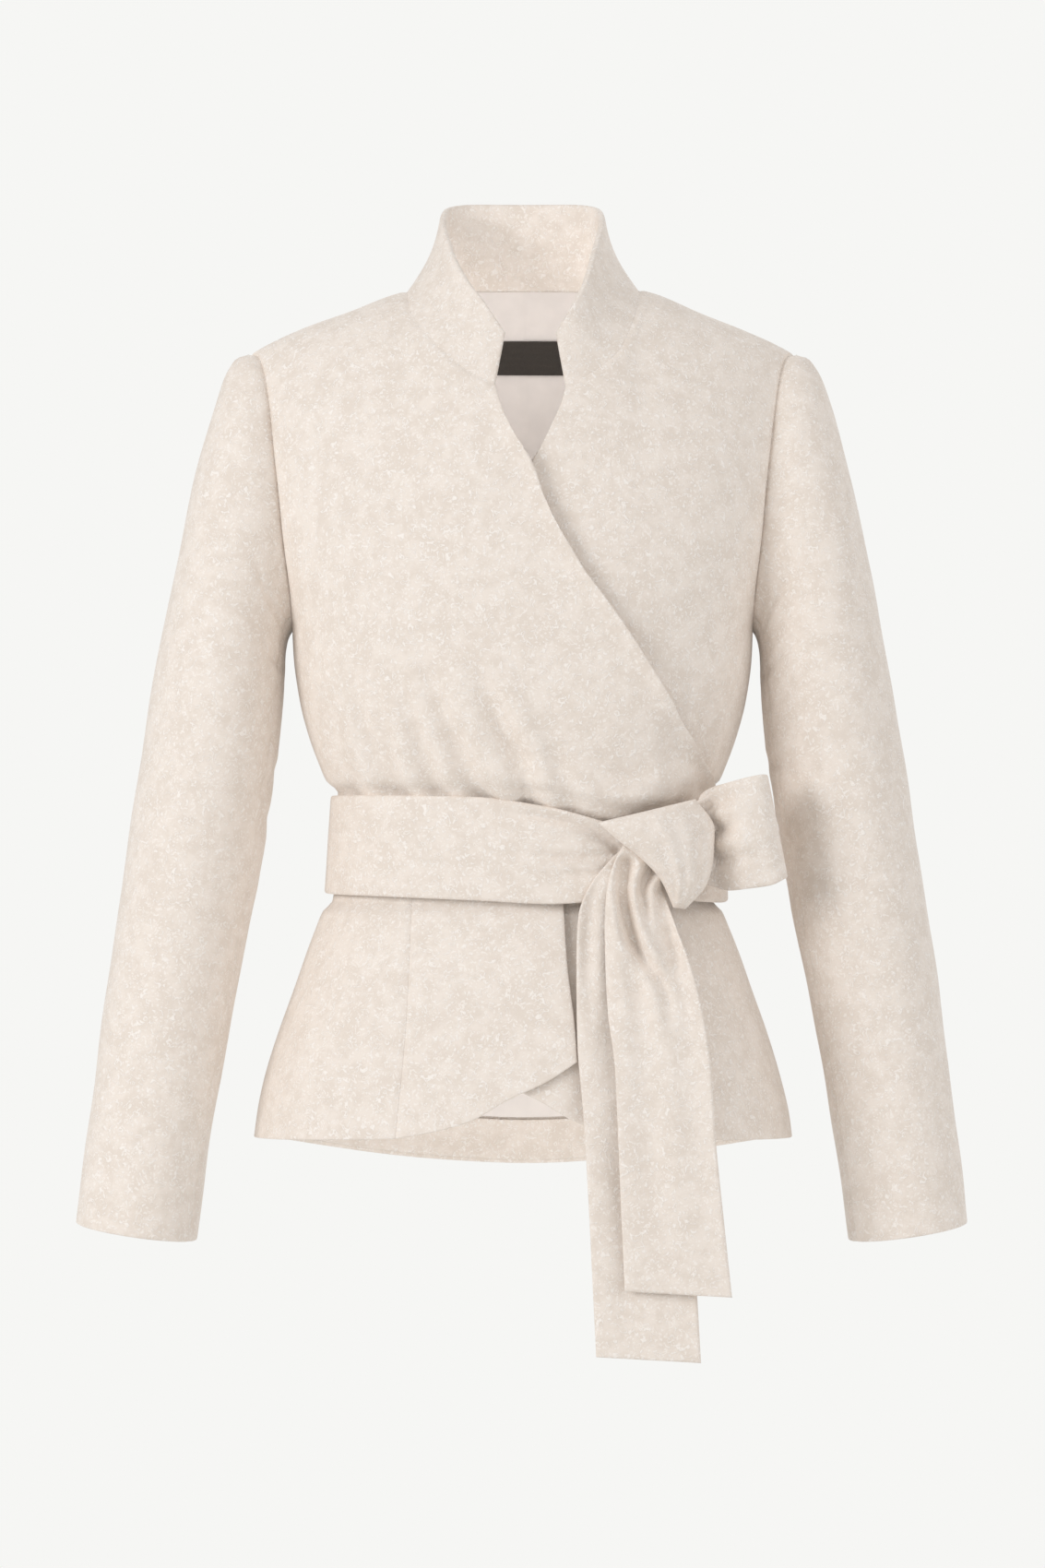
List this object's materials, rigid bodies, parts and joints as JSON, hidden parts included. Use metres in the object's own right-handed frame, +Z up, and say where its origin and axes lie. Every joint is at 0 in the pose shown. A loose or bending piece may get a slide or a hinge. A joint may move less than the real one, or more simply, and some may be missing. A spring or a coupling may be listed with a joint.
{
  "type": "wrap jacket",
  "caption": "Cream wool wrap jacket with a stand-up funnel collar, long two-piece sleeves, a flared peplum and a wide belt tied in a half bow.",
  "frame": {"origin": "midway between the two points where the shoulder seams meet the neck, at their height", "axes": "+Z up along the body, -Y out of the front of the jacket, +X towards the wearer's left sleeve"},
  "size_m": [0.6188, 0.3038, 0.8043],
  "materials": {
    "boucle_wool": "napped boucle wool, matt",
    "lining_satin": "smooth satin lining, soft sheen",
    "label_woven": "woven label, matt, bare"
  },
  "bodies": {
    "root": {"front_right": "boucle_wool", "front_left": "boucle_wool", "back": "boucle_wool", "peplum_front_right": "boucle_wool", "peplum_front_left": "boucle_wool", "peplum_side_right": "boucle_wool", "peplum_side_left": "boucle_wool", "peplum_back": "boucle_wool", "collar": "boucle_wool", "sleeve_upper_right": "boucle_wool", "sleeve_upper_left": "boucle_wool", "sleeve_under_right": "boucle_wool", "sleeve_under_left": "boucle_wool", "hem_facing": "boucle_wool", "belt_band": "boucle_wool", "belt_knot": "boucle_wool", "belt_loop": "boucle_wool", "belt_tail_front": "boucle_wool", "belt_tail_back": "boucle_wool", "back_lining": "lining_satin", "label": "label_woven"}
  },
  "joints": []
}
